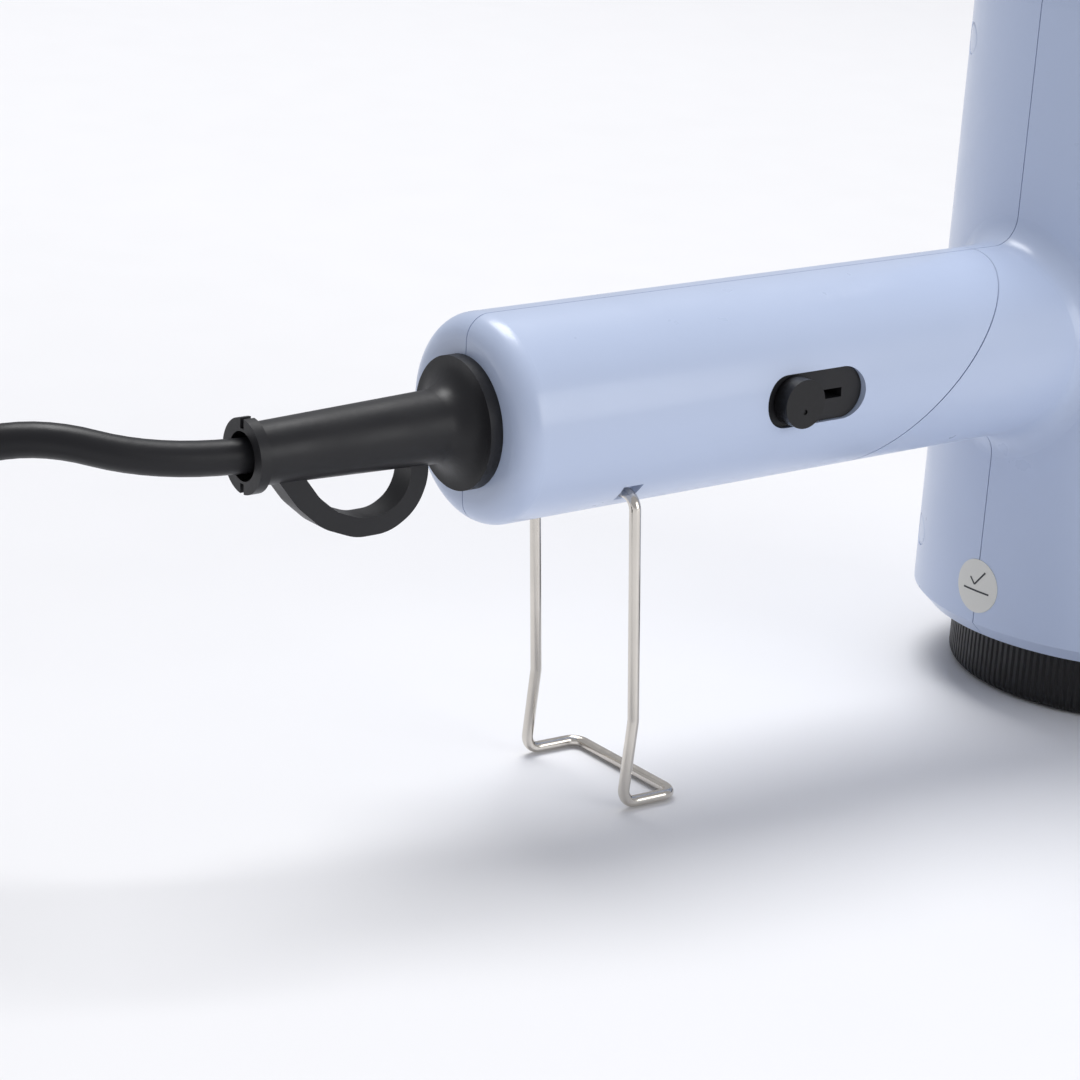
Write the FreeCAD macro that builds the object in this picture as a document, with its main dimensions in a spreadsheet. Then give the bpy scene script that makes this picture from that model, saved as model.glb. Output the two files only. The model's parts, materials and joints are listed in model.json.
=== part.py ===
import FreeCAD, Part
import math
import os
import re
import Sketcher

# A small pistol hot-air gun that stands on its rear cap with the outlet up.
# Frame: +Z along the barrel to the outlet, origin at the centre of the cap's
# resting face, the handle runs towards -X and the switch faces -Y.
# Handle parts are drawn in the handle's own frame: x along its axis from the
# barrel's axis, z up. on_handle() tilts that frame and lifts it to its height.

V = FreeCAD.Vector
doc = FreeCAD.newDocument("HotAirGun")
sheet = doc.addObject("Spreadsheet::Sheet", "Sizes")

SIZES = {
    # barrel
    "barrel_radius": 40.0, "barrel_wall": 2.4, "barrel_base": 12.2, "rim_chamfer": 2.6,
    "barrel_top": 142.0, "shoulder_round": 15.0, "joint_round": 5.0, "barrel_boss_place": 31.6,
    "barrel_boss_low": 25.0, "barrel_boss_high": 118.0, "split_gap": 0.2,
    # rear cap
    "cap_radius": 32.0, "cap_wall": 2.4, "cap_flange": 2.6, "cap_round": 2.2, "grille_radius": 27.0,
    "grille_recess": 1.2, "hub_disc": 7.0, "slot_width": 2.6, "slot_pitch": 5.6, "mesh_thickness": 0.6,
    # handle
    "axis_height": 70.0, "handle_rake": 2.0, "handle_radius": 16.8, "handle_wall": 2.4,
    "handle_length": 156.0, "handle_round": 4.0, "seam_place": 66.2, "seam_gap": 0.25,
    "handle_boss_place": 121.0, "handle_boss_front": 75.0, "handle_boss_lift": 7.0,
    # screws
    "boss_radius": 4.4, "small_boss_radius": 3.6, "screw_radius": 1.5, "screw_head": 2.8,
    "head_height": 2.0, "screw_seat": 7.0, "screw_bite": 7.0,
    # switch
    "switch_place": 98.4, "switch_lift": 0.3, "bezel_length": 20.8, "bezel_height": 8.8,
    "bezel_recess": 1.1, "knob_radius": 4.05, "knob_rest": 102.8, "knob_proud": 2.2, "switch_travel": 8.6,
    "stem_size": 2.4, "stem_height": 1.0, "stem_play": 0.6,
    # wire stand
    "wire_radius": 0.95, "pivot_place": 132.4, "pivot_drop": 12.1, "leg_half_spacing": 13.6,
    "kink_height": 15.2, "kink_shift": 3.0, "foot_shift": 1.1, "foot_length": 10.8, "pivot_depth": 7.0,
    "wire_bend": 2.4, "pocket_depth": 10.2, "pivot_boss": 2.6,
    # cord sleeve and cord
    "sleeve_length": 39.4, "sleeve_flange": 10.6, "sleeve_neck": 9.6, "sleeve_root": 5.9,
    "sleeve_tip": 4.75, "tip_flange": 5.8, "tip_thickness": 1.8, "mouth_radius": 3.8, "mouth_depth": 6.0,
    "flange_thickness": 2.2, "trumpet_round": 4.2, "loop_width": 4.6, "loop_band": 3.0, "loop_drop": 15.0,
    "loop_round": 8.5,
    "cord_radius": 2.7, "coil_middle": 30.1, "tie_width": 11.0, "tie_thickness": 0.9,
    "plug_width": 35.3, "plug_thickness": 13.7, "plug_depth": 34.0, "plug_round": 2.4, "relief_length": 14.0,
    "relief_tip": 3.7, "relief_root": 5.4, "pin_radius": 2.0, "pin_length": 19.0, "pin_spacing": 18.6,
    "pin_bury": 9.0, "plug_turn": 17.0,
    "clamp_place": 146.5, "clamp_spread": 5.8, "clamp_boss": 2.6,
    # air path
    "duct_radius": 26.4, "duct_wall": 1.8, "duct_base": 17.6, "duct_top": 72.0, "motor_radius": 12.2,
    "motor_base": 31.0, "motor_length": 31.0, "shaft_radius": 1.0, "hub_radius": 8.5, "blade_radius": 23.6,
    "blade_height": 9.0, "blade_count": 9, "nozzle_radius": 19.0, "nozzle_wall": 0.6, "nozzle_base": 82.0,
    "nozzle_top": 186.0, "nozzle_seat": 0.3, "collar_height": 7.0, "collar_radius": 24.0, "heater_radius": 15.4,
    "heater_base": 92.0, "heater_length": 74.0, "heater_wire": 0.9,
    # sticker and clearances
    "sticker_radius": 5.0, "sticker_height": 21.9, "sticker_thickness": 0.12, "fit_gap": 0.15,
    "running_gap": 0.05, "free_gap": 0.3,
}
for row, (name, number) in enumerate(SIZES.items(), start=1):
    sheet.set("A%d" % row, name)
    sheet.set("B%d" % row, str(number))
    sheet.setAlias("B%d" % row, name)
doc.recompute()

NODES = []
TURNS = {
    "X": FreeCAD.Rotation(V(0, 1, 0), 90),
    "Y": FreeCAD.Rotation(V(1, 0, 0), -90),
    "Z": FreeCAD.Rotation(),
}


def ex(text):
    """An expression with the sheet's name before each alias."""
    return re.sub(r"[a-z_]+", lambda m: "Sizes." + m.group() if m.group() in SIZES else m.group(), text)


def value(text):
    """What an expression comes to now, as a number."""
    answer = sheet.evalExpression(ex(text))
    return float(getattr(answer, "Value", answer))


def bind(thing, **texts):
    for prop, text in texts.items():
        thing.setExpression(prop, ex(text))


def place(thing, x, y, z, rotation):
    thing.Placement = FreeCAD.Placement(V(), rotation)
    for letter, text in zip("xyz", (x, y, z)):
        thing.setExpression("Placement.Base." + letter, ex(text))
    return thing


def cylinder(name, radius, length, x="0", y="0", z="0", axis="Z"):
    thing = doc.addObject("Part::Cylinder", name)
    bind(thing, Radius=radius, Height=length)
    return place(thing, x, y, z, TURNS[axis])


def cone(name, low, high, length, x="0", y="0", z="0", axis="Z"):
    thing = doc.addObject("Part::Cone", name)
    bind(thing, Radius1=low, Radius2=high, Height=length)
    return place(thing, x, y, z, TURNS[axis])


def box(name, dx, dy, dz, x="0", y="0", z="0", rotation=FreeCAD.Rotation()):
    thing = doc.addObject("Part::Box", name)
    bind(thing, Length=dx, Width=dy, Height=dz)
    return place(thing, x, y, z, rotation)


def fuse(name, *things):
    thing = doc.addObject("Part::MultiFuse", name)
    thing.Shapes = list(things)
    return thing


def cut(name, base, *tools):
    thing = doc.addObject("Part::Cut", name)
    thing.Base = base
    thing.Tool = tools[0] if len(tools) == 1 else fuse(name + "_tools", *tools)
    return thing


def common(name, base, tool):
    thing = doc.addObject("Part::Common", name)
    thing.Base = base
    thing.Tool = tool
    return thing


def on_handle(thing):
    """Puts a piece drawn in the handle's frame where the handle is."""
    thing.Placement = FreeCAD.Placement(V(), FreeCAD.Rotation(V(0, 1, 0), -1))
    thing.setExpression("Placement.Base.z", ex("axis_height"))
    thing.setExpression("Placement.Rotation.Angle", ex("-handle_rake"))
    return thing


def node(label, thing):
    """Names a finished sub-part and its file."""
    thing.Label = label
    NODES.append(thing)
    return thing


def outline(owner, name, plane, points):
    """A closed outline whose corners are bound to the sheet."""
    sketch = owner.newObject("Sketcher::SketchObject", name)
    plane_feature = [f for f in owner.Origin.OriginFeatures if f.Role == plane][0]
    sketch.AttachmentSupport = [(plane_feature, "")]
    sketch.MapMode = "FlatFace"
    corners = [V(value(x), value(y), 0) for x, y in points]
    for i, corner in enumerate(corners):
        sketch.addGeometry(Part.LineSegment(corner, corners[(i + 1) % len(corners)]))
    for i in range(len(corners)):
        sketch.addConstraint(Sketcher.Constraint("Coincident", i, 2, (i + 1) % len(corners), 1))
    for i, texts in enumerate(points):
        for kind, text in zip(("DistanceX", "DistanceY"), texts):
            index = sketch.addConstraint(Sketcher.Constraint(kind, -1, 1, i, 1, value(text)))
            sketch.setExpression("Constraints[%d]" % index, ex(text))
    return sketch


def turned(name, points, axis="V_Axis"):
    """A body turned about Z (V_Axis) or about X (H_Axis) from an outline in XZ."""
    owner = doc.addObject("PartDesign::Body", name)
    sketch = outline(owner, name + "_outline", "XZ_Plane", points)
    turn = owner.newObject("PartDesign::Revolution", name + "_turn")
    turn.Profile = sketch
    turn.ReferenceAxis = (sketch, [axis])
    turn.Angle = 360
    owner.Tip = turn
    return owner


def extruded(name, plane, points, length):
    """A body padded from an outline, half its length each side of the plane."""
    owner = doc.addObject("PartDesign::Body", name)
    sketch = outline(owner, name + "_outline", plane, points)
    pad = owner.newObject("PartDesign::Pad", name + "_pad")
    pad.Profile = sketch
    bind(pad, Length=length)
    pad.Midplane = True
    owner.Tip = pad
    return owner


def rounded(owner, name, radius, wanted):
    """Fillets a body's edges for which wanted(edge) is true."""
    doc.recompute()
    base = owner.Tip
    edges = ["Edge%d" % (i + 1) for i, e in enumerate(base.Shape.Edges) if wanted(e)]
    fillet = owner.newObject("PartDesign::Fillet", name)
    fillet.Base = (base, edges)
    bind(fillet, Radius=radius)
    owner.Tip = fillet
    return owner


def ring_at(radius, axis, along):
    """Tells whether an edge is a full circle of that radius at that place on an axis."""

    def test(edge):
        curve = edge.Curve
        if not isinstance(curve, Part.Circle) or abs(curve.Radius - value(radius)) > 1e-4:
            return False
        centre = getattr(curve.Center, axis)
        return abs(centre - value(along)) < 1e-4

    return test


def around(owner, name, count):
    """Repeats a body's pad about Z."""
    pad = owner.Tip
    ring = owner.newObject("PartDesign::PolarPattern", name)
    ring.Originals = [pad]
    ring.Axis = ([f for f in owner.Origin.OriginFeatures if f.Role == "Z_Axis"][0], [""])
    ring.Angle = 360
    bind(ring, Occurrences=count)
    owner.Tip = ring
    return owner


def half_space(name, side):
    """The room on one side of the split plane: side is -1 for the switch side."""
    y = "-60 - split_gap / 2" if side < 0 else "split_gap / 2"
    return box(name, "400", "60", "400", "-300", y, "-200")


def tube_path(points, bend=None):
    """Straight runs joined by tangent arcs, as large as the runs allow or of one bend radius."""
    edges, radii, start = [], [], points[0]
    for before, corner, after in zip(points, points[1:], points[2:]):
        into, out = (corner - before), (after - corner)
        shorter = min(into.Length, out.Length)
        turn = into.getAngle(out)
        reach = bend * math.tan(turn / 2) if bend else 0.45 * shorter
        radii.append(reach / math.tan(turn / 2))
        a = corner - into.normalize() * reach
        b = corner + out.normalize() * reach
        edges.append(Part.LineSegment(start, a).toShape())
        inward = ((a - corner) + (b - corner)).normalize()
        depth = radii[-1] / math.cos(turn / 2) - radii[-1]
        edges.append(Part.Arc(a, corner + inward * depth, b).toShape())
        start = b
    edges.append(Part.LineSegment(start, points[-1]).toShape())
    return Part.Wire(edges), radii


def tube(name, points, radius, bend=None):
    """A round tube along a path, checked against section times length."""
    path, radii = tube_path([V(*p) for p in points], bend)
    first = V(*points[1]) - V(*points[0])
    section = Part.Wire([Part.makeCircle(radius, V(*points[0]), first)])
    solid = path.makePipeShell([section], True, False, 1)
    wanted = math.pi * radius ** 2 * path.Length
    if abs(solid.Volume / wanted - 1) > 0.01:
        raise RuntimeError("%s has volume %.1f, not %.1f" % (name, solid.Volume, wanted))
    print(name, "length %.1f, least radius %.1f" % (path.Length, min(radii or [0])))
    thing = doc.addObject("Part::Feature", name)
    thing.Shape = solid
    return thing


def screw(name, x, z, head_side=1):
    """A pan-head screw along Y: the head rests on its seat, the point is in the other half."""
    head = cylinder(name + "_head", "screw_head", "head_height", x, "screw_seat", z, "Y")
    shank = cylinder(name + "_shank", "screw_radius", "screw_seat + screw_bite", x, "-screw_bite", z, "Y")
    depth = "screw_seat + head_height - 0.9"
    drive = box(name + "_drive", "3.4", "1.2", "0.8", "%s - 1.7" % x, depth, "%s - 0.4" % z)
    cross = box(name + "_cross", "0.8", "1.2", "3.4", "%s - 0.4" % x, depth, "%s - 1.7" % z)
    return cut(name, fuse(name + "_blank", head, shank), drive, cross)


# --- barrel ---------------------------------------------------------------

def handle_rod(name, far, radius):
    """A solid rod along the handle's axis, from far behind to the barrel's axis."""
    rod = turned(name, [("-(%s)" % far, "0"), ("-(%s)" % far, radius), ("0", radius), ("0", "0")], "H_Axis")
    return on_handle(rod)


def joint_edges(shape):
    """The edges where the handle's collar meets the barrel."""
    rake = FreeCAD.Rotation(V(0, 1, 0), -value("handle_rake"))
    frame = FreeCAD.Placement(V(0, 0, value("axis_height")), rake)
    found = []
    for i, edge in enumerate(shape.Edges):
        point = edge.valueAt((edge.FirstParameter + edge.LastParameter) / 2)
        local = frame.inverse().multVec(point)
        on_barrel = abs(math.hypot(point.x, point.y) - value("barrel_radius")) < 1e-3
        on_rod = abs(math.hypot(local.y, local.z) - value("handle_radius")) < 1e-3
        if on_barrel and on_rod:
            found.append(i + 1)
    return found


def barrel_outside():
    blank = turned("barrel_blank", [
        ("0", "barrel_base"),
        ("barrel_radius - rim_chamfer", "barrel_base"),
        ("barrel_radius", "barrel_base + rim_chamfer"),
        ("barrel_radius", "barrel_top"),
        ("0", "barrel_top"),
    ])
    rounded(blank, "barrel_shoulder", "shoulder_round", ring_at("barrel_radius", "z", "barrel_top"))
    collar = handle_rod("collar_rod", "seam_place + handle_radius + 4", "handle_radius")
    joined = fuse("barrel_joined", blank, collar)
    doc.recompute()
    outside = doc.addObject("Part::Fillet", "barrel_outside")
    outside.Base = joined
    outside.Edges = [(i, value("joint_round"), value("joint_round")) for i in joint_edges(joined.Shape)]
    return outside


def barrel_cavity():
    room = turned("barrel_room", [
        ("0", "barrel_base - 1"),
        ("cap_radius + fit_gap", "barrel_base - 1"),
        ("cap_radius + fit_gap", "barrel_base + barrel_wall"),
        ("barrel_radius - barrel_wall", "barrel_base + barrel_wall"),
        ("barrel_radius - barrel_wall", "barrel_top - barrel_wall"),
        ("collar_radius + fit_gap", "barrel_top - barrel_wall"),
        ("collar_radius + fit_gap", "barrel_top + 1"),
        ("0", "barrel_top + 1"),
    ])
    corner = ring_at("barrel_radius - barrel_wall", "z", "barrel_top - barrel_wall")
    rounded(room, "barrel_room_shoulder", "shoulder_round - barrel_wall", corner)
    bore = handle_rod("collar_room", "seam_place + handle_radius + 5", "handle_radius - handle_wall")
    bosses = [
        cylinder("barrel_boss_%s%s" % (column, row), "boss_radius", "120", x, "-60", z, "Y")
        for column, x in (("back", "-barrel_boss_place"), ("front", "barrel_boss_place"))
        for row, z in (("_low", "barrel_boss_low"), ("_high", "barrel_boss_high"))
    ]
    return cut("barrel_cavity", fuse("barrel_void", room, bore), *bosses)


def seam_cutter(name, gap, far):
    """The room on one side of the slanted seam: far is where the cutter ends along the handle."""
    reach = "(handle_radius + 2)"
    line = "-seam_place + (%s)" % gap
    return extruded(name, "XZ_Plane", [
        ("%s - %s" % (line, reach), "-" + reach),
        ("%s + %s" % (line, reach), reach),
        (far, reach),
        (far, "-" + reach),
    ], "100")


def screw_holes(name, side, places):
    """Clearance and head recess on the far side, pilot hole on the switch side."""
    tools = []
    for i, (x, z) in enumerate(places):
        tag = "%s_%d" % (name, i)
        if side < 0:
            tools.append(cylinder(tag, "screw_radius", "screw_bite + 1.5", x, "-screw_bite - 0.5", z, "Y"))
        else:
            shank = cylinder(tag + "_shank", "screw_radius + fit_gap", "screw_seat + 2", x, "-1", z, "Y")
            tools.append(shank)
            tools.append(cylinder(tag + "_head", "screw_head + fit_gap", "60", x, "screw_seat", z, "Y"))
    return tools


BARREL_SCREWS = [
    (x, z)
    for x in ("-barrel_boss_place", "barrel_boss_place")
    for z in ("barrel_boss_low", "barrel_boss_high")
]


def barrel_shells():
    cutter = on_handle(seam_cutter("barrel_seam", "0", "-handle_length"))
    shell = cut("barrel_hollow", barrel_outside(), barrel_cavity(), cutter)
    for label, side in (("barrel_shell_left", -1), ("barrel_shell_right", 1)):
        half = common(label + "_half", shell, half_space(label + "_side", side))
        node(label, cut(label, half, *screw_holes(label + "_hole", side, BARREL_SCREWS)))


def rear_inlet_cap():
    seat = "barrel_base + barrel_wall + 0.1"
    floor = "grille_recess + cap_wall"
    inside = "cap_radius - cap_wall"
    body = turned("cap_blank", [
        ("grille_radius", "0"),
        ("cap_radius", "0"),
        ("cap_radius", seat),
        ("cap_radius + 2", seat),
        ("cap_radius + 2", seat + " + cap_flange"),
        (inside, seat + " + cap_flange"),
        (inside, floor),
        ("0", floor),
        ("0", "grille_recess"),
        ("grille_radius", "grille_recess"),
    ])
    rounded(body, "cap_edge", "cap_round", ring_at("cap_radius", "z", "0"))
    field = cylinder("grille_field", "grille_radius - 2.5", "20", "0", "0", "-5")
    slots = [
        box("grille_slot_%d" % (i + 4), "80", "slot_width", "20", "-40",
            "%d * slot_pitch - slot_width / 2" % i, "-5")
        for i in range(-4, 5)
    ]
    grille = cut("cap_grille", body, common("grille_slots", field, fuse("grille_bars", *slots)))
    foot = cylinder("cap_foot", "hub_disc", "grille_recess + cap_wall")
    node("rear_inlet_cap", fuse("rear_inlet_cap", grille, foot))
    mesh = cylinder(
        "inlet_mesh", "cap_radius - cap_wall - fit_gap", "mesh_thickness",
        z="grille_recess + cap_wall + running_gap")
    node("inlet_mesh", mesh)


# --- air path -------------------------------------------------------------

def fan_duct():
    outer, inner = "duct_radius", "duct_radius - duct_wall"
    throat = "nozzle_radius - nozzle_wall + 0.4"
    wall = turned("duct_wall_ring", [
        (inner, "duct_base"),
        (outer, "duct_base"),
        (outer, "duct_top"),
        (throat + " + duct_wall", "nozzle_base - 0.2"),
        (throat, "nozzle_base - 0.2"),
        (inner, "duct_top - 0.8"),
    ])
    cup_in, cup_out = "motor_radius + fit_gap", "motor_radius + 2"
    low, high = "motor_base + 2", "motor_base + 19"
    cup = turned("motor_cup", [(cup_in, low), (cup_out, low), (cup_out, high), (cup_in, high)])
    arm = extruded("duct_arm", "XZ_Plane", [
        ("motor_radius + 1.2", "motor_base + 9"),
        ("duct_radius - duct_wall / 2", "motor_base + 9"),
        ("duct_radius - duct_wall / 2", "motor_base + 17"),
        ("motor_radius + 1.2", "motor_base + 17"),
    ], "3")
    node("fan_duct", fuse("fan_duct", wall, cup, around(arm, "duct_arms", "3")))


def fan_motor():
    bore = "shaft_radius + running_gap"
    top = "motor_base + motor_length"
    can = turned("motor_can_body", [
        (bore, "motor_base - 1.5"),
        ("4", "motor_base - 1.5"),
        ("4", "motor_base"),
        ("motor_radius", "motor_base"),
        ("motor_radius", top),
        (bore, top),
    ])
    rounded(can, "motor_can_edge", "1", ring_at("motor_radius", "z", top))
    node("fan_motor", can)


def impeller():
    low = "motor_base - 12"
    hub = turned("impeller_hub", [
        ("shaft_radius", low + " - 0.4"),
        ("hub_radius", low + " - 0.4"),
        ("hub_radius", low + " + blade_height + 0.6"),
        ("shaft_radius", low + " + blade_height + 0.6"),
    ])
    blade = doc.addObject("PartDesign::Body", "impeller_blade")
    section = outline(blade, "blade_outline", "YZ_Plane", [
        ("-blade_height / 2", low),
        ("-blade_height / 2 + 1.4", low),
        ("blade_height / 2", low + " + blade_height"),
        ("blade_height / 2 - 1.4", low + " + blade_height"),
    ])
    section.setExpression("AttachmentOffset.Base.z", ex("hub_radius - 1.6"))
    pad = blade.newObject("PartDesign::Pad", "blade_pad")
    pad.Profile = section
    bind(pad, Length="blade_radius - hub_radius + 1.6")
    blade.Tip = pad
    around(blade, "blade_ring", "blade_count")
    node("impeller", fuse("impeller", hub, blade))
    shaft = cylinder("motor_shaft", "shaft_radius", "motor_length + 14", z=low + " + 0.2")
    node("motor_shaft", shaft)


def nozzle():
    inside = "nozzle_radius - nozzle_wall"
    node("nozzle_tube", turned("nozzle_tube", [
        (inside, "nozzle_base"),
        ("nozzle_radius + 4.4", "nozzle_base"),
        ("nozzle_radius + 4.4", "nozzle_base + 1"),
        ("nozzle_radius + nozzle_seat", "nozzle_base + 1"),
        ("nozzle_radius + nozzle_seat", "barrel_top + collar_height + free_gap"),
        ("nozzle_radius", "barrel_top + collar_height + free_gap"),
        ("nozzle_radius", "nozzle_top"),
        (inside, "nozzle_top"),
    ]))
    low = "barrel_top - barrel_wall"
    ring = turned("front_collar", [
        ("nozzle_radius + nozzle_seat + fit_gap", low + " - 3.2"),
        ("collar_radius + 2.4", low + " - 3.2"),
        ("collar_radius + 2.4", low + " - 0.8"),
        ("collar_radius", low + " - 0.8"),
        ("collar_radius", "barrel_top + collar_height"),
        ("nozzle_radius + nozzle_seat + fit_gap", "barrel_top + collar_height"),
    ])
    rounded(ring, "collar_edge", "1.5", ring_at("collar_radius", "z", "barrel_top + collar_height"))
    node("front_collar", ring)


def heater():
    top = "heater_base + heater_length"
    sleeve_out = "nozzle_radius - nozzle_wall - fit_gap"
    sleeve = [("%s - 0.6" % sleeve_out, "heater_base - 4"), (sleeve_out, "heater_base - 4"),
              (sleeve_out, top + " + 6"), ("%s - 0.6" % sleeve_out, top + " + 6")]
    node("mica_sleeve", turned("mica_sleeve", sleeve))
    inner = "heater_radius - 2 * heater_wire"
    boards = [
        box("heater_board_x", "2 * (%s) - 0.2" % inner, "1", "heater_length + 7",
            "-(%s) + 0.1" % inner, "-0.5",
            "heater_base - 7"),
        box("heater_board_y", "1", "2 * (%s) - 0.2" % inner, "heater_length + 7",
            "-0.5", "-(%s) + 0.1" % inner,
            "heater_base - 7"),
    ]
    node("heater_frame", fuse("heater_frame", *boards))
    node("heater_coil", turned("heater_coil", [
        (inner, "heater_base"), ("heater_radius", "heater_base"),
        ("heater_radius", top + " - 4"), (inner, top + " - 4")]))
    node("thermal_cutout", box("thermal_cutout", "8", "4", "6", "-10", "0.5", "heater_base - 7"))
    node("thermal_fuse", cylinder("thermal_fuse", "1.7", "9", "6.5", "2.3", "heater_base - 7"))


# --- handle ---------------------------------------------------------------

HANDLE_SCREWS = [("-handle_boss_place", "handle_boss_lift"), ("-handle_boss_front", "0")]
CLAMP_PLACES = [("-clamp_place", "clamp_spread"), ("-clamp_place", "-clamp_spread")]


def stadium(name, length, height, depth, y):
    """A round-ended block across the switch side, centred on the switch."""
    bar = box(name + "_bar", "%s - (%s)" % (length, height), depth, height,
              "-switch_place - (%s - (%s)) / 2" % (length, height), y, "switch_lift - (%s) / 2" % height)
    ends = [
        cylinder(name + tag, "(%s) / 2" % height, depth,
                 "-switch_place %s (%s - (%s)) / 2" % (sign, length, height), y, "switch_lift", "Y")
        for tag, sign in (("_back", "-"), ("_front", "+"))
    ]
    return fuse(name, bar, *ends)


def pivot_pocket(name, side):
    """The pocket and the bore that take one end of the wire stand."""
    top, low = "-pivot_drop + wire_radius + 0.7", "-pivot_drop - 6"
    pocket = extruded(name + "_pocket", "XZ_Plane", [
        ("-pivot_place - wire_radius - 1", top),
        ("-pivot_place + wire_radius + 1", top),
        ("-pivot_place + wire_radius + 0.5", low),
        ("-pivot_place - wire_radius - 0.5", low),
    ], "80")
    y = "pocket_depth" if side > 0 else "-pocket_depth - 30"
    beyond = box(name + "_beyond", "20", "30", "20", "-pivot_place - 10", y, "-pivot_drop - 10")
    start = "pivot_depth - 0.4" if side > 0 else "-pivot_depth + 0.4 - 30"
    bore = cylinder(
        name + "_bore", "wire_radius + running_gap", "30", "-pivot_place", start, "-pivot_drop", "Y")
    return [common(name + "_room", pocket, beyond), bore]


def handle_shells():
    outside = turned("handle_outside", [
        ("-handle_length", "0"), ("-handle_length", "handle_radius"), ("-40", "handle_radius"), ("-40", "0"),
    ], "H_Axis")
    rounded(outside, "handle_end", "handle_round", ring_at("handle_radius", "x", "-handle_length"))
    end_wall = "-handle_length + handle_wall"
    neck = "sleeve_neck + fit_gap"
    room = turned("handle_room", [
        ("-handle_length - 1", "0"),
        ("-handle_length - 1", neck),
        (end_wall, neck),
        (end_wall, "handle_radius - handle_wall"),
        ("-30", "handle_radius - handle_wall"),
        ("-30", "0"),
    ], "H_Axis")
    bosses = [
        cylinder("handle_boss_%d" % i, "small_boss_radius", "60", x, "-30", z, "Y")
        for i, (x, z) in enumerate(HANDLE_SCREWS)
    ]
    bosses += [
        cylinder("clamp_boss_%d" % i, "clamp_boss", "30", x, "-30", z, "Y")
        for i, (x, z) in enumerate(CLAMP_PLACES)
    ]
    bosses += [
        cylinder("pivot_boss_" + tag, "pivot_boss", "30", "-pivot_place", y, "-pivot_drop", "Y")
        for tag, y in (("left", "-pivot_depth + 1.5 - 30"), ("right", "pivot_depth - 1.5"))
    ]
    cavity = cut("handle_cavity", room, *bosses)
    cutter = seam_cutter("handle_seam", "-seam_gap * 1.4", "0")
    shell = cut("handle_hollow", outside, cavity, cutter)
    for label, side in (("handle_shell_left", -1), ("handle_shell_right", 1)):
        tools = screw_holes(label + "_hole", side, HANDLE_SCREWS) + pivot_pocket(label + "_pivot", side)
        if side < 0:
            opening = stadium("switch_opening", "bezel_length", "bezel_height", "10", "-handle_radius - 5")
            tools.append(opening)
            tools += screw_holes(label + "_clamp", side, CLAMP_PLACES)
        half = common(label + "_half", shell, half_space(label + "_side", side))
        node(label, on_handle(cut(label, half, *tools)))


def switch_parts():
    face = "-handle_radius + bezel_recess"
    plate = stadium("bezel_plate", "bezel_length - 2 * fit_gap", "bezel_height - 2 * fit_gap", "3", face)
    flange = stadium("bezel_flange", "bezel_length + 2", "bezel_height + 1.6", "1", face + " + 2.9")
    slot = box("bezel_slot", "switch_travel + stem_size + 2 * stem_play", "20", "stem_height + 2 * free_gap",
               "-knob_rest - stem_size / 2 - stem_play", "-30", "switch_lift - stem_height / 2 - free_gap")
    node("switch_bezel", on_handle(cut("switch_bezel", fuse("bezel_solid", plate, flange), slot)))

    button = cylinder("knob_button", "knob_radius", "knob_proud + bezel_recess - free_gap", "-knob_rest",
                      "-handle_radius - knob_proud", "switch_lift", "Y")
    stem = box("knob_stem", "stem_size", "7", "stem_height", "-knob_rest - stem_size / 2", face + " - 1.5",
               "switch_lift - stem_height / 2")
    dimple = cylinder(
        "knob_dimple", "0.45", "1.3", "-knob_rest", "-handle_radius - knob_proud - 1",
        "switch_lift - 1.3", "Y")
    node("switch_knob", on_handle(cut("switch_knob", fuse("knob_solid", button, stem), dimple)))

    front = face + " + 4.1"
    body = box("switch_case", "22", "8", "9.6", "-switch_place - 11", front, "switch_lift - 4.8")
    well = box("switch_well", "switch_travel + stem_size + 2 * stem_play", "4", "stem_height + 2 * free_gap",
               "-knob_rest - stem_size / 2 - stem_play", front + " - 1.5",
               "switch_lift - stem_height / 2 - free_gap")
    tabs = [
        box("switch_tab_%d" % (i + 1), "0.8", "3.4", "2.4", "-switch_place - 0.4 + %d" % (6 * i),
            front + " + 7.6", "switch_lift - 1.2")
        for i in (-1, 0, 1)
    ]
    node("slide_switch", on_handle(cut("slide_switch", fuse("switch_solid", body, *tabs), well)))


def rectifier():
    board = box("board_blank", "22", "1.6", "14", "-104", "5", "-7")
    hole = cylinder("board_hole", "1", "6", "-86", "3", "4.5", "Y")
    node("rectifier_board", on_handle(cut("rectifier_board", board, hole)))
    diodes = [
        cylinder("diode_%d" % i, "1.35", "5", "-101 + %d" % (9 * (i % 2)), "8",
                 "-3.5 + %d" % (5 * (i // 2)), "X")
        for i in range(4)
    ]
    node("rectifier_diodes", on_handle(fuse("rectifier_diodes", *diodes)))


LEADS = {
    "lead_live": [(-138, 0, -1.3), (-129, -2.5, -4), (-119, -5.5, -3.5), (-109.6, -7.5, -1)],
    "lead_neutral": [(-138, 0, 1.3), (-129, 3, -2), (-117, 5.8, -4.5), (-104.2, 5.8, -3)],
    "lead_heater": [(-87.2, -7.5, -2), (-80, -7, -7), (-66, -6, -7.5), (-49, -5, -5), (-33.5, -4, 2),
                    (-31.5, -4, 13), (-29, -4, 21), (-20.6, -4, 24)],
    "lead_motor": [(-81.8, 5.8, 0), (-75, 6.5, 6.5), (-61, 6, 6), (-46, 5, 2), (-33.5, 5, -4), (-31, 5, -13),
                   (-27.4, 5, -18)],
}


def leads():
    for label, points in LEADS.items():
        node(label, on_handle(tube(label, points, 0.9)))


# --- cord sleeve and cord -------------------------------------------------

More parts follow.
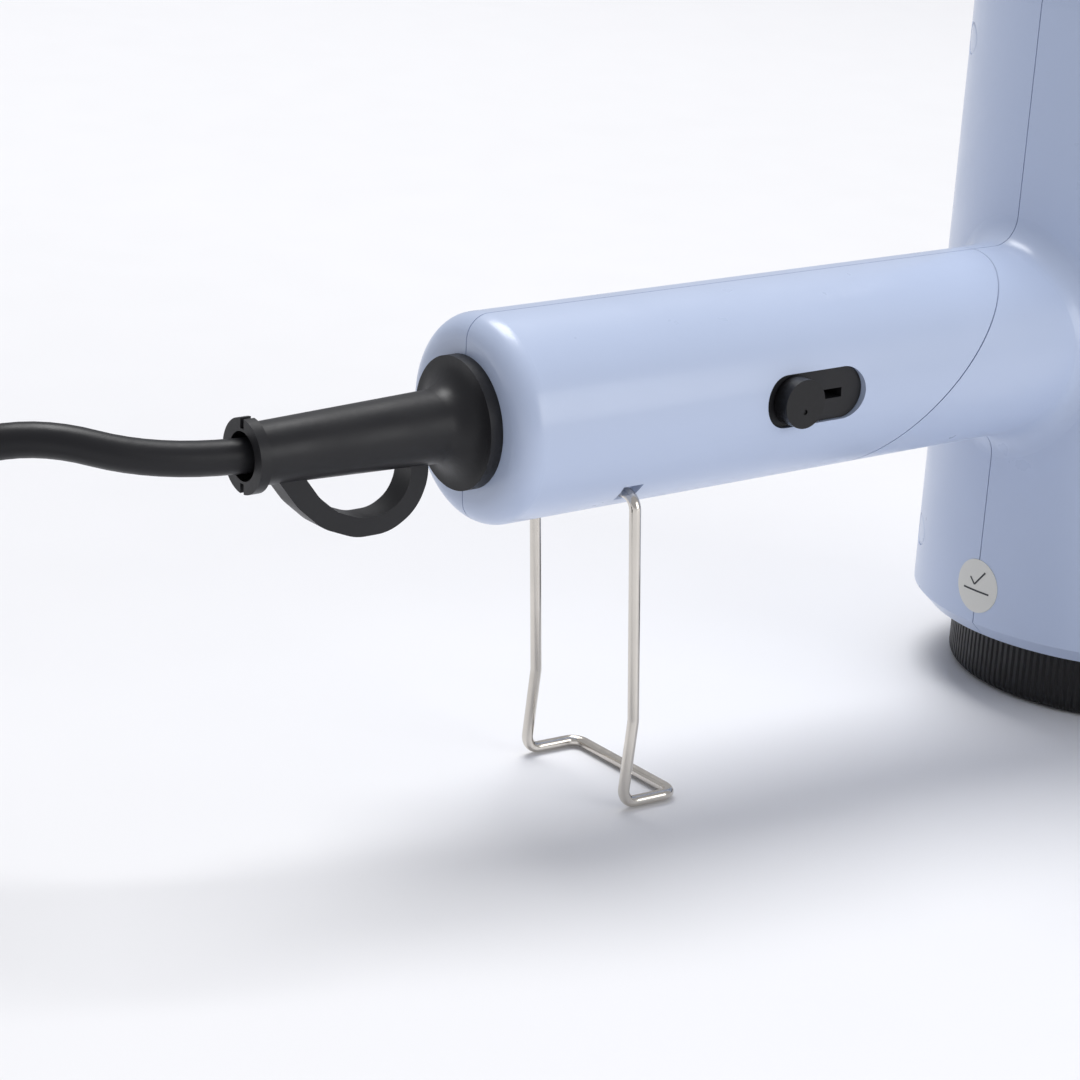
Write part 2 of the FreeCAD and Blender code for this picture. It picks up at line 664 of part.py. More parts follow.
def cord_sleeve():
    end = "-handle_length"
    tip = "-handle_length - sleeve_length"
    inside = end + " + handle_wall + 0.1"
    body = turned("sleeve_body", [
        (inside + " + 2", "cord_radius"),
        (inside + " + 2", "sleeve_neck + 2.4"),
        (inside, "sleeve_neck + 2.4"),
        (inside, "sleeve_neck"),
        (end, "sleeve_neck"),
        (end, "sleeve_flange"),
        (end + " - flange_thickness", "sleeve_flange"),
        (end + " - flange_thickness", "sleeve_root"),
        (tip + " + tip_thickness", "sleeve_tip"),
        (tip + " + tip_thickness", "tip_flange"),
        (tip, "tip_flange"),
        (tip, "mouth_radius"),
        (tip + " + mouth_depth", "mouth_radius"),
        (tip + " + mouth_depth", "cord_radius"),
    ], "H_Axis")
    rounded(body, "sleeve_trumpet", "trumpet_round", ring_at("sleeve_root", "x", end + " - flange_thickness"))
    bottom = "-loop_drop"
    hoop = extruded("loop_outside", "XZ_Plane", [
        (tip + " + 5", "-4.2"),
        (tip + " + 8.2", "-8.6"),
        (tip + " + 12.6", bottom + " + 2.4"),
        (tip + " + 18.5", bottom),
        (tip + " + 24.5", bottom),
        (tip + " + 29.4", bottom + " + 2.8"),
        (tip + " + 31.4", "-7.6"),
        (tip + " + 31.4", "-4.2"),
    ], "loop_width")
    rounded(hoop, "loop_bend", "loop_round", upright_edges(lambda p: p.z < -5))
    hole = extruded("loop_hole", "XZ_Plane", [
        (tip + " + 9.4", "-4"),
        (tip + " + 12", "-7.6"),
        (tip + " + 15.2", bottom + " + loop_band + 1.6"),
        (tip + " + 19.3", bottom + " + loop_band"),
        (tip + " + 23.6", bottom + " + loop_band"),
        (tip + " + 26.8", bottom + " + loop_band + 1.8"),
        (tip + " + 28.2", "-7.2"),
        (tip + " + 28.2", "-4"),
    ], "20")
    rounded(hole, "loop_hole_bend", "loop_round - loop_band", upright_edges(lambda p: p.z < -5))
    slit = box("tip_slit", "tip_thickness + 0.1", "1", "20", tip + " - 0.1", "-0.5", "-10")
    core = cylinder("tip_core", "mouth_radius + 0.4", "8", tip + " - 2", axis="X")
    solid = fuse("sleeve_solid", body, cut("sleeve_loop", hoop, hole))
    node("cord_sleeve", on_handle(cut("cord_sleeve", solid, cut("tip_slits", slit, core))))


def upright_edges(wanted):
    """Tells whether an edge is straight along Y and stands at a wanted point."""

    def test(edge):
        a, b = edge.Vertexes[0].Point, edge.Vertexes[-1].Point
        return abs(a.x - b.x) < 1e-6 and abs(a.z - b.z) < 1e-6 and wanted(a)

    return test


def cord_inside():
    tip = "-handle_length - sleeve_length + mouth_depth"
    node("cord_inside", on_handle(turned("cord_inside", [
        (tip, "0"), (tip, "cord_radius"), ("-138.1", "cord_radius"), ("-138.1", "0")], "H_Axis")))
    bar = box("clamp_bar", "7", "4.2", "2 * clamp_spread + 5.4", "-clamp_place - 3.5", "0.2",
              "-clamp_spread - 2.7")
    groove = cylinder("clamp_groove", "cord_radius", "20", "-clamp_place - 10", axis="X")
    holes = [
        cylinder("clamp_hole_%d" % i, "screw_radius + fit_gap", "20", x, "-5", z, "Y")
        for i, (x, z) in enumerate(CLAMP_PLACES)
    ]
    node("cord_clamp", on_handle(cut("cord_clamp", bar, groove, *holes)))


def clamp_screws():
    screws = []
    for i, (x, z) in enumerate(CLAMP_PLACES):
        head = cylinder("clamp_head_%d" % i, "screw_head - 0.3", "head_height", x, "4.4", z, "Y")
        shank = cylinder("clamp_shank_%d" % i, "screw_radius", "4.4 + 6", x, "-6", z, "Y")
        screws += [head, shank]
    return fuse("clamp_screws", *screws)


def screws():
    barrel = [screw("barrel_screw_%d" % i, x, z) for i, (x, z) in enumerate(BARREL_SCREWS)]
    node("barrel_screws", fuse("barrel_screws", *barrel))
    handle = [screw("handle_screw_%d" % i, x, z) for i, (x, z) in enumerate(HANDLE_SCREWS)]
    node("handle_screws", on_handle(fuse("handle_screws", *handle)))
    node("clamp_screws", on_handle(clamp_screws()))


# --- free cord ------------------------------------------------------------

# The free stretch leaves the sleeve's mouth, hangs down and joins the coil.
CORD_ROUTE = [
    (-189.31, 0, 63.39), (-206.3, 1.4, 62.2), (-225.5, 13, 67.4), (-241.2, 24.6, 57.3), (-249, 28.5, 37),
    (-257, 32, 21.5), (-273.3, 37.7, 12.2), (-292.4, 41.6, 8.1),
]
TAIL_ROUTE = [(-295.1, 41.7, 2.7), (-310, 41.3, 2.75), (-328, 37.6, 4.4), (-344.5, 32.5, 6.85)]
COIL_CENTRE = (-295.1, 3.5)
COIL_LOWER, COIL_UPPER = 4, 3


def power_cord():
    node("power_cord", tube("power_cord", CORD_ROUTE, value("cord_radius")))
    node("cord_tail", tube("cord_tail", TAIL_ROUTE, value("cord_radius")))


def coil_section(name, more):
    """The ring that holds two layers of turns side by side, thicker all round by more."""
    outside = "coil_middle + %d * cord_radius" % COIL_LOWER
    inside = "coil_middle - %d * cord_radius" % COIL_LOWER
    step = "%s + %d * cord_radius" % (inside, 2 * (COIL_LOWER - COIL_UPPER))
    top = "4 * cord_radius + " + more
    middle = "2 * cord_radius + " + more
    soft = "cord_radius / 2"
    return turned(name, [
        (inside + " - " + more, "0"),
        (outside + " + " + more, "0"),
        (outside + " + " + more, top + " - " + soft),
        (outside + " + " + more + " - " + soft, top),
        (step + " - " + more + " + " + soft, top),
        (step + " - " + more, top + " - " + soft),
        (step + " - " + more, middle),
        (inside + " - " + more, middle + " - " + soft),
    ])


def beside_coil(thing):
    """Moves a piece drawn about Z to the coil's place."""
    thing.Placement.Base = V(*COIL_CENTRE, 0)
    return thing


def coil_and_tie():
    slab = box("tie_slab", "tie_width", "80", "40", "-tie_width / 2", "-80", "-1")
    hollow = box("tie_inner", "tie_width", "80", "40", "-tie_width / 2", "-80", "tie_thickness")
    inner = common("tie_hollow", coil_section("tie_inside", "0"), hollow)
    band = cut("tie_band", common("tie_blank", coil_section("tie_outside", "tie_thickness"), slab), inner)
    node("cord_coil", beside_coil(cut("cord_coil", coil_section("coil_blank", "0"), band)))
    node("cord_tie", beside_coil(common("cord_tie", band, slab)))


def on_plug(thing):
    """Puts a piece drawn along +X from the cord's end where the plug lies."""
    x, y, _ = TAIL_ROUTE[-1]
    thing.Placement = FreeCAD.Placement(V(x, y, 0), FreeCAD.Rotation(V(0, 0, 1), 180))
    thing.setExpression("Placement.Rotation.Angle", ex("180 + plug_turn"))
    thing.setExpression("Placement.Base.z", ex("plug_thickness / 2"))
    return thing


def plug():
    face = "relief_length + plug_depth"
    half = "plug_width / 2"
    hull = extruded("plug_hull", "XY_Plane", [
        ("relief_length", "relief_root + 1"),
        ("relief_length + 6", "relief_root + 3"),
        (face + " - 16", half),
        (face, half),
        (face, "-" + half),
        (face + " - 16", "-" + half),
        ("relief_length + 6", "-relief_root - 3"),
        ("relief_length", "-relief_root - 1"),
    ], "plug_thickness")
    top = value("plug_thickness / 2")
    rounded(hull, "plug_edges", "plug_round", lambda edge: all(
        abs(abs(corner.Point.z) - top) < 1e-6 for corner in edge.Vertexes))
    relief = turned("plug_relief", [
        ("0", "0"),
        ("0", "relief_tip"),
        ("relief_length + 1", "relief_root"),
        ("relief_length + 1", "0"),
    ], "H_Axis")
    pins = fuse("pin_pair", *(
        cylinder("pin_%d" % i, "pin_radius", "pin_bury + pin_length", face + " - pin_bury",
                 "%d * pin_spacing / 2" % side, axis="X")
        for i, side in enumerate((-1, 1))
    ))
    node("plug_body", on_plug(cut("plug_body", fuse("plug_solid", hull, relief), pins)))
    room = box("pin_room", "pin_bury + pin_length + 1", "plug_width", "plug_thickness",
               face + " - pin_bury - 0.5", "-plug_width / 2", "-plug_thickness / 2")
    node("plug_pins", on_plug(common("plug_pins", pins, room)))


# --- stand and sticker ----------------------------------------------------

def row_point(x, y, z):
    """A point of the handle's frame in the row's frame."""
    rake = math.radians(value("handle_rake"))
    return (
        x * math.cos(rake) - z * math.sin(rake),
        y,
        value("axis_height") + x * math.sin(rake) + z * math.cos(rake),
    )


def wire_stand():
    x, _, z = row_point(-value("pivot_place"), 0, -value("pivot_drop"))
    side, rest = value("leg_half_spacing"), value("wire_radius")
    kink = x + value("kink_shift")
    heel = kink - value("foot_shift")
    toe = heel + value("foot_length")
    near = [(x, -value("pivot_depth"), z), (x, -side, z), (kink, -side, value("kink_height")),
            (heel, -side, rest), (toe, -side, rest)]
    far = [(px, -py, pz) for px, py, pz in reversed(near)]
    node("wire_stand", tube("wire_stand", near + far, value("wire_radius"), value("wire_bend")))


def quality_sticker():
    skin = turned("sticker_skin", [
        ("barrel_radius", "sticker_height - 10"),
        ("barrel_radius + sticker_thickness", "sticker_height - 10"),
        ("barrel_radius + sticker_thickness", "sticker_height + 10"),
        ("barrel_radius", "sticker_height + 10"),
    ])
    disc = cylinder(
        "sticker_disc", "sticker_radius", "20", "-barrel_radius - 10", z="sticker_height", axis="X")
    node("quality_sticker", common("quality_sticker", skin, disc))


barrel_shells()
rear_inlet_cap()
fan_duct()
fan_motor()
impeller()
nozzle()
heater()
handle_shells()
switch_parts()
rectifier()
leads()
cord_sleeve()
cord_inside()
screws()
wire_stand()
quality_sticker()
power_cord()
coil_and_tie()
plug()
doc.recompute()

for thing in doc.Objects:
    if "Invalid" in thing.State or "Error" in thing.State:
        raise RuntimeError("%s failed: %s" % (thing.Name, thing.State))
os.makedirs("parts", exist_ok=True)
for thing in NODES:
    shape = thing.Shape
    if shape.isNull() or not shape.isValid() or not shape.Solids:
        raise RuntimeError("%s has no valid solid" % thing.Label)
    shape.exportStep("parts/%s.step" % thing.Label)
    print("%-20s %2d solid(s) %10.1f mm3" % (thing.Label, len(shape.Solids), shape.Volume))
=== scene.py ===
import json
import math

import bpy
from mathutils import Matrix, Vector


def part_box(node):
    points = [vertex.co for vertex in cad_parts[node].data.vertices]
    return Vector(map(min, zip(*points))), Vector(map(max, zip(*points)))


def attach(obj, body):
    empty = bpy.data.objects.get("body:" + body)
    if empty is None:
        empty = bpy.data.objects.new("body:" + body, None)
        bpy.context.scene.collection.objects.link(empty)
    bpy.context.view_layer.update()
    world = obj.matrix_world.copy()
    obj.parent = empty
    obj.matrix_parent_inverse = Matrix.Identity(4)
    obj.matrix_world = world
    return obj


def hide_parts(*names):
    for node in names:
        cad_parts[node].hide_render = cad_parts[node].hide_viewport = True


# A small pistol hot-air gun standing on its rear cap, outlet up, handle towards -X.

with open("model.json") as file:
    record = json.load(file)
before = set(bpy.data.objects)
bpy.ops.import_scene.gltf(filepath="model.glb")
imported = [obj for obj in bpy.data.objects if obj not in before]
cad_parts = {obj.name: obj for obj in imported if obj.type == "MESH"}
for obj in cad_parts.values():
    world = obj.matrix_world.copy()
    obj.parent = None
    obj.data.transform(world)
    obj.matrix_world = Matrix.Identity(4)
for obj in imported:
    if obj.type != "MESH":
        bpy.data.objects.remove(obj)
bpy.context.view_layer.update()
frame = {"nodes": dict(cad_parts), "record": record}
MM = 0.001


def mm(points):
    return [Vector(p) * MM for p in points]


# --- camera ---------------------------------------------------------------

CAMERA_PLACE = (-0.39573, -0.34508, 0.17337)


def camera():
    """A long lens above the handle's free end, looking down across it towards the barrel."""
    yaw, pitch, roll = 0.638, 0.294, 0.064
    forward = Vector((math.sin(yaw) * math.cos(pitch), math.cos(yaw) * math.cos(pitch), -math.sin(pitch)))
    right = Vector((math.cos(yaw), -math.sin(yaw), 0))
    up = right.cross(forward)
    tilted_right = right * math.cos(roll) + up * math.sin(roll)
    tilted_up = up * math.cos(roll) - right * math.sin(roll)
    data = bpy.data.cameras.new("camera")
    data.sensor_width = 36
    data.lens = 93.33
    data.clip_start, data.clip_end = 0.01, 50
    rig = bpy.data.objects.new("camera", data)
    turn = Matrix((tilted_right, tilted_up, -forward)).transposed()
    rig.matrix_world = Matrix.Translation(Vector(CAMERA_PLACE)) @ turn.to_4x4()
    bpy.context.scene.collection.objects.link(rig)
    bpy.context.scene.camera = rig


# --- materials ------------------------------------------------------------

class Nodes:
    """A material's node tree with a Principled shader and object coordinates."""

    def __init__(self, name, **sockets):
        self.material = bpy.data.materials.new(name)
        self.material.use_nodes = True
        self.tree = self.material.node_tree
        self.shader = self.tree.nodes["Principled BSDF"]
        self.place = self.tree.nodes.new("ShaderNodeTexCoord").outputs["Object"]
        for socket, value in sockets.items():
            self.shader.inputs[socket.replace("_", " ")].default_value = value

    def add(self, kind, links=(), **settings):
        node = self.tree.nodes.new("ShaderNode" + kind)
        for socket, value in settings.items():
            node.inputs[socket].default_value = value
        for socket, source in links:
            self.tree.links.new(source, node.inputs[socket])
        return node

    def math(self, operation, a, b=0.0):
        node = self.tree.nodes.new("ShaderNodeMath")
        node.operation = operation
        for socket, source in zip(node.inputs, (a, b)):
            if isinstance(source, (int, float)):
                socket.default_value = source
            else:
                self.tree.links.new(source, socket)
        return node.outputs[0]

    def noise(self, scale, detail=4.0, stretch=(1, 1, 1)):
        place = self.add("Mapping", [("Vector", self.place)], Scale=stretch).outputs[0]
        return self.add("TexNoise", [("Vector", place)], Scale=scale, Detail=detail).outputs["Fac"]

    def span(self, source, low, high):
        """Spreads the middle of a noise over low to high."""
        node = self.add("MapRange", [("Value", source)])
        for socket, value in (("From Min", 0.3), ("From Max", 0.7), ("To Min", low), ("To Max", high)):
            node.inputs[socket].default_value = value
        return node.outputs[0]

    def tint(self, source, first, second):
        node = self.tree.nodes.new("ShaderNodeMix")
        node.data_type = "RGBA"
        node.inputs[6].default_value = (*first, 1)
        node.inputs[7].default_value = (*second, 1)
        self.tree.links.new(source, node.inputs[0])
        self.tree.links.new(node.outputs[2], self.shader.inputs["Base Color"])

    def rough(self, source):
        self.tree.links.new(source, self.shader.inputs["Roughness"])

    def bump(self, height, depth):
        before = self.shader.inputs["Normal"]
        links = [("Height", height)]
        if before.is_linked:
            links.append(("Normal", before.links[0].from_socket))
        node = self.add("Bump", links)
        node.inputs["Distance"].default_value = depth
        self.tree.links.new(node.outputs[0], before)


def around_z(nodes):
    """The angle about the Z axis, in radians."""
    split = nodes.add("SeparateXYZ", [("Vector", nodes.place)])
    return nodes.math("ARCTAN2", split.outputs[1], split.outputs[0])


DARK_BELOW = 0.1
DARK_SPECULAR, LIGHT_SPECULAR = 0.28, 0.5


def plastic(name, colour, low, high, grain=900, depth=0.00002, shift=0.06, **sockets):
    """Moulded plastic: slight clouding, a fine spark-eroded grain and uneven gloss. Dark ones shine less."""
    specular = LIGHT_SPECULAR if max(colour) > DARK_BELOW else DARK_SPECULAR
    nodes = Nodes(name, Specular_IOR_Level=specular, **sockets)
    darker = [c * (1 - shift) for c in colour]
    nodes.tint(nodes.span(nodes.noise(35), 0, 1), darker, colour)
    nodes.rough(nodes.span(nodes.noise(120), low, high))
    nodes.bump(nodes.noise(grain, 6), depth)
    return nodes


def shell_blue():
    return plastic("shell_blue", (0.49, 0.57, 0.75), 0.27, 0.36, 1200, 0.000006, 0.02, Coat_Weight=0.2,
                   Coat_Roughness=0.15).material


def cap_ribs():
    """Black plastic with fine ribs round the Z axis."""
    count, depth = 150.0, 0.0003
    nodes = plastic("cap_ribs", (0.012, 0.012, 0.013), 0.38, 0.52)
    nodes.bump(nodes.math("SINE", nodes.math("MULTIPLY", around_z(nodes), count)), depth)
    return nodes.material


def metal(name, colour, low, high, stretch=(1, 1, 1), depth=0.00001):
    """Drawn or turned metal with stretched scratches and faint tarnish."""
    nodes = Nodes(name, Metallic=1.0)
    darker = [c * 0.86 for c in colour]
    nodes.tint(nodes.span(nodes.noise(90, 5), 0, 1), darker, colour)
    nodes.rough(nodes.span(nodes.noise(500, 6, stretch), low, high))
    nodes.bump(nodes.noise(1500, 3, stretch), depth)
    return nodes.material


def nozzle_steel():
    """Stainless tube, brushed round and straw coloured by heat towards the mouth."""
    nodes = Nodes("nozzle_steel", Metallic=1.0, Anisotropic=0.4)
    height = nodes.add("SeparateXYZ", [("Vector", nodes.place)]).outputs[2]
    top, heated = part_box("nozzle_tube")[1].z, 0.02
    warm = nodes.add("MapRange", [("Value", height)])
    warm.inputs["From Min"].default_value = top - heated
    warm.inputs["From Max"].default_value = top
    patchy = nodes.math("MULTIPLY", warm.outputs[0], nodes.span(nodes.noise(60), 0.35, 1.0))
    nodes.tint(patchy, (0.60, 0.60, 0.61), (0.50, 0.38, 0.22))
    nodes.rough(nodes.span(nodes.noise(200, 6, (1, 1, 14)), 0.22, 0.38))
    nodes.bump(nodes.noise(300, 4, (1, 1, 16)), 0.00002)
    return nodes.material


def mesh_steel():
    """Woven wire: two crossed waves, each repeating after a pitch."""
    colour, pitch = (0.35, 0.35, 0.36), 0.0012
    nodes = Nodes("mesh_steel", Metallic=1.0)
    split = nodes.add("SeparateXYZ", [("Vector", nodes.place)])
    turn = 2 * math.pi / pitch
    waves = [nodes.math("SINE", nodes.math("MULTIPLY", split.outputs[i], turn)) for i in (0, 1)]
    cross = nodes.math("MAXIMUM", *waves)
    # painted shade: the colour falls to a quarter of the steel's in the troughs between the crossed wires,
    # where the weave's gaps lie in shade
    nodes.tint(cross, [c * 0.25 for c in colour], colour)
    nodes.rough(nodes.span(nodes.noise(200), 0.3, 0.5))
    nodes.bump(cross, pitch / 5)
    return nodes.material


def mica():
    nodes = Nodes("mica", Metallic=0.2)
    nodes.tint(nodes.span(nodes.noise(140, 8), 0, 1), (0.42, 0.36, 0.25), (0.68, 0.62, 0.50))
    nodes.rough(nodes.span(nodes.noise(260), 0.35, 0.6))
    nodes.bump(nodes.noise(400, 8), 0.0001)
    return nodes.material


# slot: colour, least and most roughness, then the grain, its depth and the clouding where they are unusual
PLASTICS = {
    "black_plastic": ((0.014, 0.014, 0.016), 0.38, 0.52),
    "knob_plastic": ((0.010, 0.010, 0.011), 0.28, 0.4, 1200),
    "duct_plastic": ((0.03, 0.03, 0.033), 0.45, 0.6),
    "cutout_nylon": ((0.72, 0.71, 0.66), 0.4, 0.5),
    "switch_body": ((0.03, 0.03, 0.03), 0.4, 0.55),
    "board": ((0.05, 0.16, 0.05), 0.3, 0.45, 300, 0.00005, 0.2),
    "diode_body": ((0.02, 0.02, 0.02), 0.3, 0.4),
    "lead_brown": ((0.16, 0.06, 0.025), 0.35, 0.5),
    "lead_blue": ((0.03, 0.09, 0.42), 0.35, 0.5),
    "sleeve_rubber": ((0.016, 0.016, 0.018), 0.36, 0.5, 800, 0.00003),
    "cord_rubber": ((0.013, 0.013, 0.015), 0.34, 0.5, 600, 0.00004),
    "sticker_vinyl": ((0.74, 0.73, 0.68), 0.35, 0.5, 500),
    "tie_rubber": ((0.02, 0.02, 0.02), 0.6, 0.8, 2500, 0.0001),
    "plug_rubber": ((0.015, 0.015, 0.017), 0.36, 0.5, 500, 0.00004),
}

# slot: colour, least and most roughness, then the scratches' stretch and depth where they are unusual
METALS = {
    "motor_steel": ((0.60, 0.60, 0.62), 0.25, 0.4, (1, 1, 10)),
    "heater_wire": ((0.42, 0.38, 0.33), 0.4, 0.6),
    "fuse_metal": ((0.68, 0.68, 0.64), 0.25, 0.4),
    "screw_steel": ((0.5, 0.5, 0.5), 0.3, 0.45),
    "stand_chrome": ((0.72, 0.68, 0.62), 0.12, 0.24, (1, 1, 0.15), 0.000006),
    "pin_nickel": ((0.7, 0.68, 0.63), 0.15, 0.28, (10, 10, 1)),
}

OTHERS = {"shell_blue": shell_blue, "mesh_steel": mesh_steel, "nozzle_steel": nozzle_steel, "mica": mica}


def materials():
    """One material for each slot."""
    made = {slot: plastic(slot, *row).material for slot, row in PLASTICS.items()}
    made.update({slot: metal(slot, *row) for slot, row in METALS.items()})
    made.update({slot: build() for slot, build in OTHERS.items()})
    return made


def paint(thing, material):
    thing.data.materials.clear()
    thing.data.materials.append(material)


def paint_nodes():
    """Gives each CAD node the material of its slot and returns the materials."""
    made = materials()
    for part in frame["record"]["subparts"]:
        paint(frame["nodes"][part["node"]], made[part["material_slot"]])
    paint(frame["nodes"]["rear_inlet_cap"], cap_ribs())
    return made


# --- free cord ------------------------------------------------------------

CORD_ROUTE = [
    (-189.31, 0, 63.39), (-206.3, 1.4, 62.2), (-225.5, 13, 67.4), (-241.2, 24.6, 57.3), (-249, 28.5, 37),
    (-257, 32, 21.5), (-273.3, 37.7, 12.2), (-292.4, 41.6, 8.1),
]
TAIL_ROUTE = [(-295.1, 41.7, 2.7), (-310, 41.3, 2.75), (-328, 37.6, 4.4), (-344.5, 32.5, 6.85)]
CORD_RADIUS = 2.7
COIL_CENTRE = (-295.1, 3.5)
COIL_MIDDLE = 30.1
COIL_SLOTS = [1.5, 0.5, -0.5, -1.5, -0.5, 0.5, 1.5]
COIL_START = 86
UPPER_TURNS = 3
CHANGE_SHARE = 0.2
POINTS_PER_TURN = 16


def ease(t):
    """Goes smoothly from 0 to 1 as t does, and stays there outside."""
    t = min(max(t, 0), 1)
    return t * t * (3 - 2 * t)


def coil_points():
    """Three turns inwards on top of four turns outwards, each a cord's width from the next.

    Each turn ends in a change of place, and the fourth starts with the change of layer, over CHANGE_SHARE.
    """
    first = math.radians(COIL_START)
    reach = 1 / math.cos(math.pi / POINTS_PER_TURN)
    points = []
    for k in range(1, len(COIL_SLOTS) * POINTS_PER_TURN):
        turn, part = divmod(k / POINTS_PER_TURN, 1)
        turn = int(turn)
        after = COIL_SLOTS[min(turn + 1, len(COIL_SLOTS) - 1)]
        slot = COIL_SLOTS[turn] + (after - COIL_SLOTS[turn]) * ease((part - 1 + CHANGE_SHARE) / CHANGE_SHARE)
        radius = (COIL_MIDDLE + slot * 2 * CORD_RADIUS) * reach
        upper = 1 - ease((turn + part - UPPER_TURNS) / CHANGE_SHARE)
        angle = first + 2 * math.pi * (turn + part)
        points.append((
            COIL_CENTRE[0] + radius * math.cos(angle),
            COIL_CENTRE[1] + radius * math.sin(angle),
            CORD_RADIUS * (1 + 2 * upper),
        ))
    return points


def free_cord(material):
    curve = bpy.data.curves.new("mains_cord", "CURVE")
    curve.dimensions = "3D"
    spline = curve.splines.new("NURBS")
    route = mm(CORD_ROUTE + coil_points() + TAIL_ROUTE)
    spline.points.add(len(route) - 1)
    for point, place in zip(spline.points, route):
        point.co = (*place, 1)
    spline.order_u = 3
    spline.use_endpoint_u = True
    curve.resolution_u = 10
    curve.bevel_depth = CORD_RADIUS * MM
    curve.bevel_resolution = 6
    curve.use_fill_caps = True
    cord = bpy.data.objects.new("mains_cord", curve)
    bpy.context.scene.collection.objects.link(cord)
    paint(cord, material)
    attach(cord, "gun")
    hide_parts("power_cord", "cord_coil", "cord_tail")


# --- pieces ---------------------------------------------------------------

def mesh_piece(name, vertices, faces, material):
    mesh = bpy.data.meshes.new(name)
    mesh.from_pydata([tuple(v) for v in vertices], [], faces)
    mesh.polygons.foreach_set("use_smooth", [True] * len(mesh.polygons))
    mesh.update()
    thing = bpy.data.objects.new(name, mesh)
    bpy.context.scene.collection.objects.link(thing)
    paint(thing, material)
    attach(thing, "gun")
    return thing


def wire(name, points, radius, material, sides):
    """A round wire along points, closed at its ends."""
    vertices, faces = [], []
    side = Vector((0, 0, 1))
    for i, point in enumerate(points):
        ahead = (points[min(i + 1, len(points) - 1)] - points[max(i - 1, 0)]).normalized()
        across = ahead.cross(side).normalized()
        lift = across.cross(ahead)
        for j in range(sides):
            a = 2 * math.pi * j / sides
            vertices.append(point + (across * math.cos(a) + lift * math.sin(a)) * radius)
    for i in range(len(points) - 1):
        for j in range(sides):
            k = (j + 1) % sides
            faces.append((i * sides + j, i * sides + k, (i + 1) * sides + k, (i + 1) * sides + j))
    faces.append(tuple(range(sides - 1, -1, -1)))
    faces.append(tuple(range(len(vertices) - sides, len(vertices))))
    return mesh_piece(name, vertices, faces, material)


def heater_winding(material):
    """The heating wire: a fine spiral wound in a helix round the crossed mica boards."""
    low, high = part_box("heater_coil")
    margin, end_margin, curl_radius, wire_radius = 1.1 * MM, 1.2 * MM, 0.8 * MM, 0.28 * MM
    turns, per_turn, curls_per_turn = 15, 120, 9
    middle = high.x - margin
    length = high.z - low.z - 2 * end_margin
    points = []
    for k in range(turns * per_turn + 1):
        t = k / (turns * per_turn)
        angle = 2 * math.pi * turns * t
        curl = angle * curls_per_turn
        radius = middle + curl_radius * math.cos(curl)
        height = low.z + end_margin + length * t + curl_radius * math.sin(curl)
        points.append(Vector((radius * math.cos(angle), radius * math.sin(angle), height)))
    piece = wire("heater_winding", points, wire_radius, material, 5)
    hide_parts("heater_coil")


def sticker_mark(material):
    """A plain tick over a line, printed on the round inspection sticker."""
    low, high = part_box("quality_sticker")
    ink_rise, half, cuts = 0.03 * MM, 0.17 * MM, 10
    radius = -low.x + ink_rise
    centre = (low.z + high.z) / 2
    strokes = [
        [(-3.2, -0.9), (3.2, -0.9)],
        [(-1.7, 1.4), (-0.5, 0.2), (1.9, 3.0)],
    ]
    vertices, faces = [], []
    for stroke in strokes:
        for start, end in zip(mm((*p, 0) for p in stroke), mm((*p, 0) for p in stroke[1:])):
            along = end - start
            across = Vector((-along.y, along.x, 0)).normalized() * half
            first = len(vertices)
            for i in range(cuts + 1):
                middle = start + along * (i / cuts)
                for edge in (middle - across, middle + across):
                    angle = edge.x / radius
                    vertices.append((-radius * math.cos(angle), -radius * math.sin(angle), centre + edge.y))
            for i in range(first, first + 2 * cuts, 2):
                faces.append((i, i + 1, i + 3, i + 2))
    mesh_piece("sticker_mark", vertices, faces, material)


PLUG_RADIUS, PLUG_DEPTH, PLUG_RIM = 2.85 * MM, 1.4 * MM, 0.12 * MM
PLUG_RINGS, PLUG_SIDES = 4, 32


def plug_vertices(x, z, surface):
    """Rings of points on the plug's curved face, then on its back, with the outermost ring a little lower."""
    vertices = []
    for sink in (0, PLUG_DEPTH):
        for ring in range(1, PLUG_RINGS + 1):
            reach = PLUG_RADIUS * ring / PLUG_RINGS
            rim = PLUG_RIM if ring == PLUG_RINGS else 0
            for j in range(PLUG_SIDES):
                a = 2 * math.pi * j / PLUG_SIDES
                px, pz = x + reach * math.cos(a), z + reach * math.sin(a)
                vertices.append((px, math.sqrt(surface ** 2 - px ** 2) - sink - rim, pz))
    return vertices


def plug_faces():
    """The middle of each side, the bands between rings on both sides, and the edge that joins them."""
    back = PLUG_RINGS * PLUG_SIDES
    edge = back - PLUG_SIDES
    faces = [tuple(range(PLUG_SIDES - 1, -1, -1)), tuple(range(back, back + PLUG_SIDES))]
    for a in range(0, edge, PLUG_SIDES):
        b = a + PLUG_SIDES
        for j in range(PLUG_SIDES):
            k = (j + 1) % PLUG_SIDES
            faces.append((a + j, a + k, b + k, b + j))
            faces.append((back + a + k, back + a + j, back + b + j, back + b + k))
    for j in range(PLUG_SIDES):
        k = (j + 1) % PLUG_SIDES
        faces.append((edge + j, edge + k, back + edge + k, back + edge + j))
    return faces


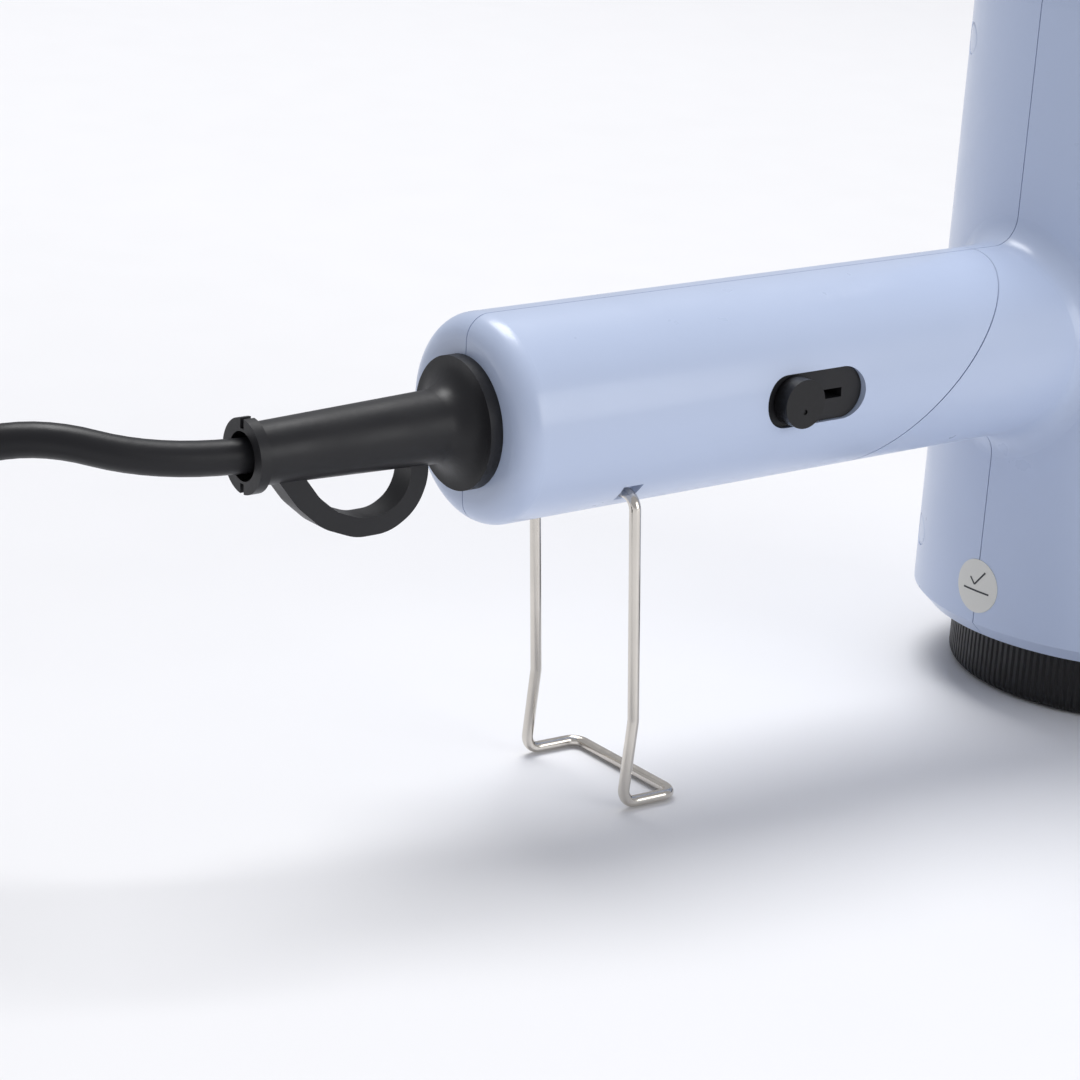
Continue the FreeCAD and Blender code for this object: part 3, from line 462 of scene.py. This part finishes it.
def screw_plugs(material):
    """Flush plugs over the barrel's screw recesses, curved like the shell."""
    low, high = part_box("barrel_screws")
    head_radius, sunk = 2.8 * MM, 0.05 * MM
    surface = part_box("barrel_shell_left")[1].x - sunk
    columns = (low.x + head_radius, high.x - head_radius)
    rows = (low.z + head_radius, high.z - head_radius)
    for i, (x, z) in enumerate((x, z) for x in columns for z in rows):
        mesh_piece("screw_plug_%d" % i, plug_vertices(x, z, surface), plug_faces(), material)


# --- floor and light ------------------------------------------------------

def floor():
    mesh = bpy.data.meshes.new("floor")
    size, drop = 6, 0.0002
    corners = [(-size, -size, 0), (size, -size, 0), (size, size, 0), (-size, size, 0)]
    mesh.from_pydata(corners, [], [(0, 1, 2, 3)])
    ground = bpy.data.objects.new("floor", mesh)
    bpy.context.scene.collection.objects.link(ground)
    nodes = Nodes("floor_paper")
    nodes.tint(nodes.noise(3), (0.80, 0.80, 0.815), (0.82, 0.82, 0.835))
    nodes.rough(nodes.span(nodes.noise(40), 0.55, 0.62))
    paint(ground, nodes.material)
    ground.location.z = -drop


def area_light(name, place, target, size, power):
    data = bpy.data.lights.new(name, "AREA")
    data.shape = "RECTANGLE"
    data.size, data.size_y = size
    data.energy = power
    lamp = bpy.data.objects.new(name, data)
    lamp.location = place
    lamp.rotation_euler = (Vector(target) - Vector(place)).to_track_quat("-Z", "Y").to_euler()
    bpy.context.scene.collection.objects.link(lamp)


def lights():
    middle = (-0.08, 0, 0.06)
    area_light("softbox_top", (0.3, 1.1, 3.0), middle, (1.7, 1.7), 80)
    area_light("softbox_right", (0.35, -1.2, 0.45), middle, (0.9, 0.7), 5.5)
    world = bpy.data.worlds.new("studio")
    world.use_nodes = True
    background = world.node_tree.nodes["Background"]
    background.inputs["Color"].default_value = (0.94, 0.95, 1, 1)
    background.inputs["Strength"].default_value = 0.47
    bpy.context.scene.world = world
    bpy.context.scene.view_settings.view_transform = "Standard"


camera()
finishes = paint_nodes()
free_cord(finishes["cord_rubber"])
heater_winding(finishes["heater_wire"])
screw_plugs(finishes["shell_blue"])
sticker_mark(plastic("mark_ink", (0.05, 0.05, 0.055), 0.4, 0.5).material)
floor()
lights()
